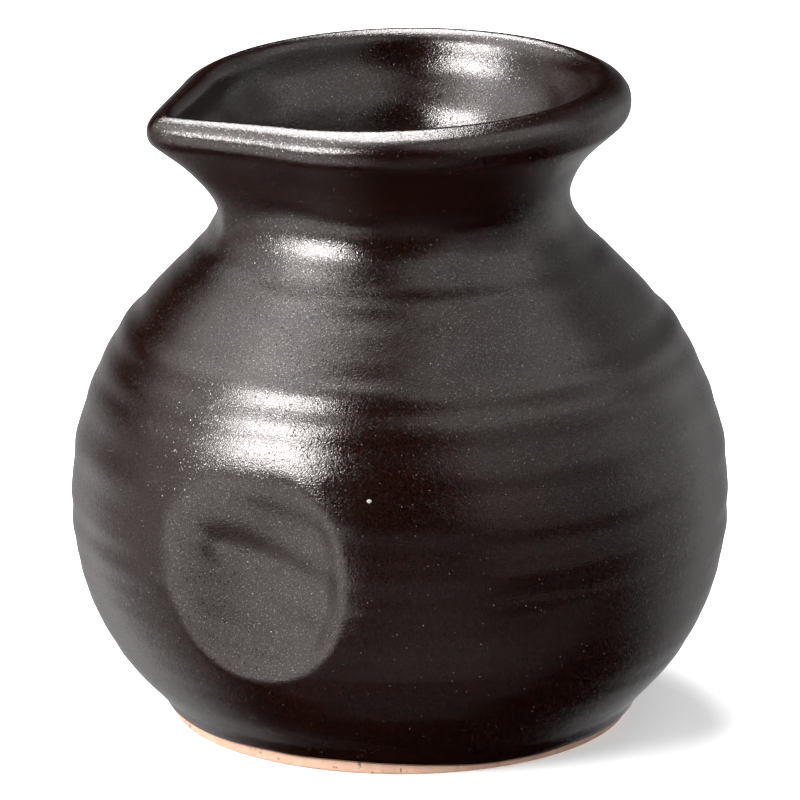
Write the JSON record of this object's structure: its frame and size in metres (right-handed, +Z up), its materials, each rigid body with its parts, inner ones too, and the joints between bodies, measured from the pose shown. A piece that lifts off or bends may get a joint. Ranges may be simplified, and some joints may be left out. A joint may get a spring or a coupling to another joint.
{
  "type": "sake bottle",
  "caption": "Squat round stoneware sake bottle: rolled wide mouth with a pinched pouring spout, thumb dimple low in the belly, dark satin glaze, bare clay foot ring.",
  "frame": {"origin": "centre of the foot ring's underside, on the surface that the bottle stands on", "axes": "+Z up through the neck; -X is the direction in which the spout pours"},
  "size_m": [0.0898, 0.0897, 0.0892],
  "materials": {
    "bare_clay": "unglazed fired stoneware, fine and matt, pinkish tan",
    "dark_glaze": "near-black brown satin glaze with a metallic sheen, fine orange peel and pale specks"
  },
  "bodies": {
    "root": {"clay_body": "bare_clay", "outer_glaze": "dark_glaze", "inner_glaze": "dark_glaze", "base_glaze": "dark_glaze"}
  },
  "joints": []
}
